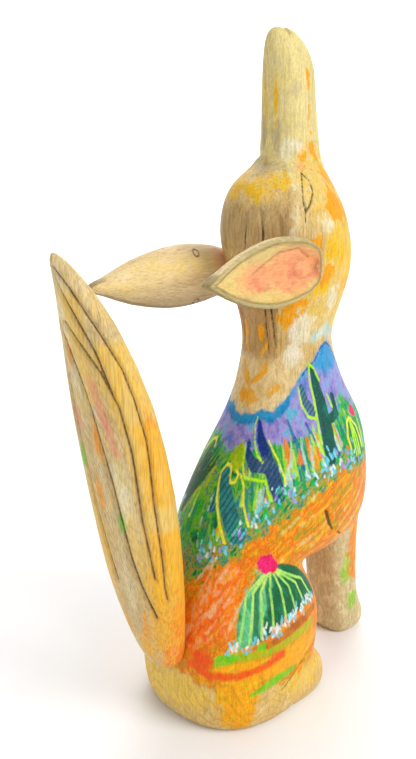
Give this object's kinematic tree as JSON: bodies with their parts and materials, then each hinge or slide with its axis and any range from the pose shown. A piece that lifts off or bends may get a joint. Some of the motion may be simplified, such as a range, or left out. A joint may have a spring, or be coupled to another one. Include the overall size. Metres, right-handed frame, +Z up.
{
  "type": "howling coyote figure",
  "caption": "Carved and painted wooden coyote that sits and howls upwards, with a tail and two ears that plug in on dowels.",
  "frame": {"origin": "centre of the bounding box, on the flat underside that the figure rests on", "axes": "+Z up along the muzzle, -Y the way the animal looks (chest side), +X the animal's left"},
  "size_m": [0.102, 0.2376, 0.38],
  "materials": {
    "body_wood": "hand painted, satin clear coat",
    "tail_wood": "colour-washed, satin clear coat",
    "ear_wood": "colour-washed, satin clear coat",
    "dowel": "bare sanded"
  },
  "bodies": {
    "figure_body": {"body": "body_wood"},
    "tail_unit": {"tail": "tail_wood", "tail_peg": "dowel"},
    "left_ear_unit": {"left_ear": "ear_wood", "left_ear_peg": "dowel"},
    "right_ear_unit": {"right_ear": "ear_wood", "right_ear_peg": "dowel"}
  },
  "joints": [
    {"name": "tail_pull", "type": "slide", "parent": "figure_body", "child": "tail_unit", "axis": [0, 0.9929, 0.1191], "range_m": [0, 0.06]},
    {"name": "left_ear_pull", "type": "slide", "parent": "figure_body", "child": "left_ear_unit", "axis": [0.8, 0.6, 0], "range_m": [0, 0.06]},
    {"name": "right_ear_pull", "type": "slide", "parent": "figure_body", "child": "right_ear_unit", "axis": [-0.8, 0.6, 0], "range_m": [0, 0.06]}
  ]
}
